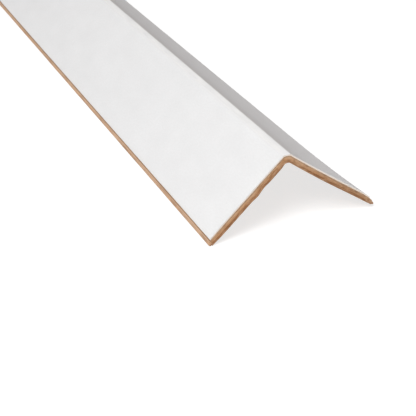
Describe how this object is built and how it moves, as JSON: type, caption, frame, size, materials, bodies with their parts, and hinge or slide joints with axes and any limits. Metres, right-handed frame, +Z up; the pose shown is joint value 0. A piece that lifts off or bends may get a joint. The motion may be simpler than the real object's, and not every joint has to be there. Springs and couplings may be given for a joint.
{
  "type": "pallet edge protector",
  "caption": "Long angle board of laminated paper, folded to an open V, laid over the edge of a pallet load so that straps and handling don't crush it.",
  "frame": {"origin": "on the ground under the bend, at the middle of the board's length", "axes": "+Y along the board, +Z up through the bend, +X towards the right leg when looking along +Y"},
  "size_m": [0.0672, 0.75, 0.03],
  "materials": {
    "white_faced_board": "smooth white paper facing outside, raw brown kraft plies at the cut ends, the free edges and the inside"
  },
  "bodies": {
    "root": {"angle_board": "white_faced_board"}
  },
  "joints": []
}
